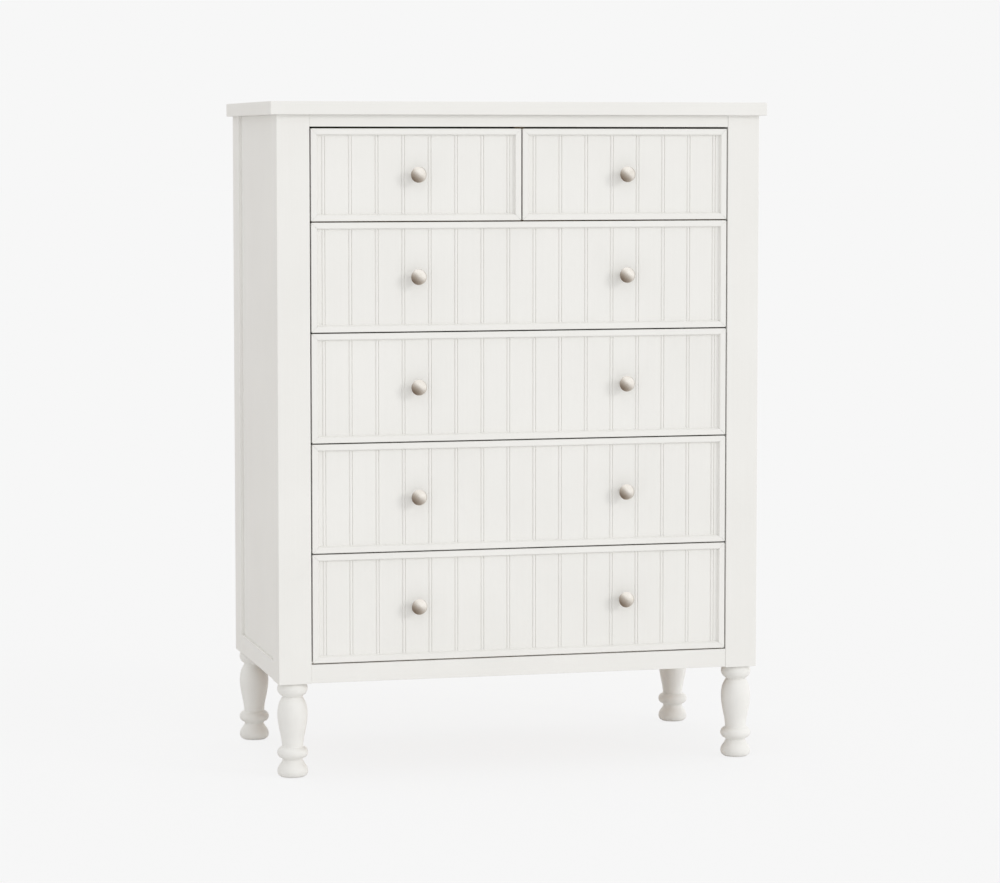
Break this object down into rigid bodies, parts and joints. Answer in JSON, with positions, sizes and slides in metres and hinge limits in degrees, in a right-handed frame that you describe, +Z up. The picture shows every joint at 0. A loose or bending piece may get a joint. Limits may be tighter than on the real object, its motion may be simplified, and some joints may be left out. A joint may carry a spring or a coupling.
{
  "type": "tall chest of drawers",
  "caption": "Tall painted chest of drawers with beaded, framed fronts, split top row, round metal knobs, square corner posts and turned legs.",
  "frame": {"origin": "on the floor under the middle of the whole object, knobs included", "axes": "+X to the viewer's right when facing the drawers, +Y to the back, +Z up"},
  "size_m": [0.965, 0.498, 1.27],
  "materials": {
    "white_paint": "satin white paint",
    "drawer_wood": "clear lacquer",
    "plain_wood": "bare planed wood",
    "thin_board": "bare hardboard",
    "zinc_steel": "zinc plated",
    "nickel": "satin nickel",
    "nylon": "moulded"
  },
  "bodies": {
    "carcass": {"top": "white_paint", "front_left_post": "white_paint", "front_right_post": "white_paint", "rear_left_post": "white_paint", "rear_right_post": "white_paint", "left_side_panel": "white_paint", "right_side_panel": "white_paint", "left_side_rail": "white_paint", "right_side_rail": "white_paint", "front_top_rail": "white_paint", "front_bottom_rail": "white_paint", "rear_rails": "plain_wood", "back_panel": "thin_board", "back_screws": "zinc_steel", "top_row_shelf": "plain_wood", "top_row_divider": "plain_wood", "cleats": "plain_wood", "cabinet_channels": "zinc_steel", "front_left_leg": "white_paint", "front_right_leg": "white_paint", "rear_left_leg": "white_paint", "rear_right_leg": "white_paint", "hanger_bolts": "zinc_steel", "floor_glides": "nylon"},
    "top_left_drawer": {"top_left_drawer_frame": "white_paint", "top_left_drawer_panel": "white_paint", "top_left_drawer_box": "drawer_wood", "top_left_drawer_knobs": "nickel", "top_left_drawer_channels": "zinc_steel"},
    "top_left_slide_middles": {"top_left_middle_channels": "zinc_steel"},
    "top_right_drawer": {"top_right_drawer_frame": "white_paint", "top_right_drawer_panel": "white_paint", "top_right_drawer_box": "drawer_wood", "top_right_drawer_knobs": "nickel", "top_right_drawer_channels": "zinc_steel"},
    "top_right_slide_middles": {"top_right_middle_channels": "zinc_steel"},
    "second_drawer": {"second_drawer_frame": "white_paint", "second_drawer_panel": "white_paint", "second_drawer_box": "drawer_wood", "second_drawer_knobs": "nickel", "second_drawer_channels": "zinc_steel"},
    "second_slide_middles": {"second_middle_channels": "zinc_steel"},
    "third_drawer": {"third_drawer_frame": "white_paint", "third_drawer_panel": "white_paint", "third_drawer_box": "drawer_wood", "third_drawer_knobs": "nickel", "third_drawer_channels": "zinc_steel"},
    "third_slide_middles": {"third_middle_channels": "zinc_steel"},
    "fourth_drawer": {"fourth_drawer_frame": "white_paint", "fourth_drawer_panel": "white_paint", "fourth_drawer_box": "drawer_wood", "fourth_drawer_knobs": "nickel", "fourth_drawer_channels": "zinc_steel"},
    "fourth_slide_middles": {"fourth_middle_channels": "zinc_steel"},
    "bottom_drawer": {"bottom_drawer_frame": "white_paint", "bottom_drawer_panel": "white_paint", "bottom_drawer_box": "drawer_wood", "bottom_drawer_knobs": "nickel", "bottom_drawer_channels": "zinc_steel"},
    "bottom_slide_middles": {"bottom_middle_channels": "zinc_steel"}
  },
  "joints": [
    {"name": "top_left_drawer_slide", "type": "slide", "parent": "carcass", "child": "top_left_drawer", "axis": [0, -1, 0], "range_m": [0, 0.38]},
    {"name": "top_left_middle_slide", "type": "slide", "parent": "carcass", "child": "top_left_slide_middles", "axis": [0, -1, 0], "range_m": [0, 0.19]},
    {"name": "top_right_drawer_slide", "type": "slide", "parent": "carcass", "child": "top_right_drawer", "axis": [0, -1, 0], "range_m": [0, 0.38]},
    {"name": "top_right_middle_slide", "type": "slide", "parent": "carcass", "child": "top_right_slide_middles", "axis": [0, -1, 0], "range_m": [0, 0.19]},
    {"name": "second_drawer_slide", "type": "slide", "parent": "carcass", "child": "second_drawer", "axis": [0, -1, 0], "range_m": [0, 0.38]},
    {"name": "second_middle_slide", "type": "slide", "parent": "carcass", "child": "second_slide_middles", "axis": [0, -1, 0], "range_m": [0, 0.19]},
    {"name": "third_drawer_slide", "type": "slide", "parent": "carcass", "child": "third_drawer", "axis": [0, -1, 0], "range_m": [0, 0.38]},
    {"name": "third_middle_slide", "type": "slide", "parent": "carcass", "child": "third_slide_middles", "axis": [0, -1, 0], "range_m": [0, 0.19]},
    {"name": "fourth_drawer_slide", "type": "slide", "parent": "carcass", "child": "fourth_drawer", "axis": [0, -1, 0], "range_m": [0, 0.38]},
    {"name": "fourth_middle_slide", "type": "slide", "parent": "carcass", "child": "fourth_slide_middles", "axis": [0, -1, 0], "range_m": [0, 0.19]},
    {"name": "bottom_drawer_slide", "type": "slide", "parent": "carcass", "child": "bottom_drawer", "axis": [0, -1, 0], "range_m": [0, 0.38]},
    {"name": "bottom_middle_slide", "type": "slide", "parent": "carcass", "child": "bottom_slide_middles", "axis": [0, -1, 0], "range_m": [0, 0.19]}
  ],
  "couplings": [
    {"joint": "top_left_middle_slide", "follows": "top_left_drawer_slide", "ratio": 0.5},
    {"joint": "top_right_middle_slide", "follows": "top_right_drawer_slide", "ratio": 0.5},
    {"joint": "second_middle_slide", "follows": "second_drawer_slide", "ratio": 0.5},
    {"joint": "third_middle_slide", "follows": "third_drawer_slide", "ratio": 0.5},
    {"joint": "fourth_middle_slide", "follows": "fourth_drawer_slide", "ratio": 0.5},
    {"joint": "bottom_middle_slide", "follows": "bottom_drawer_slide", "ratio": 0.5}
  ]
}
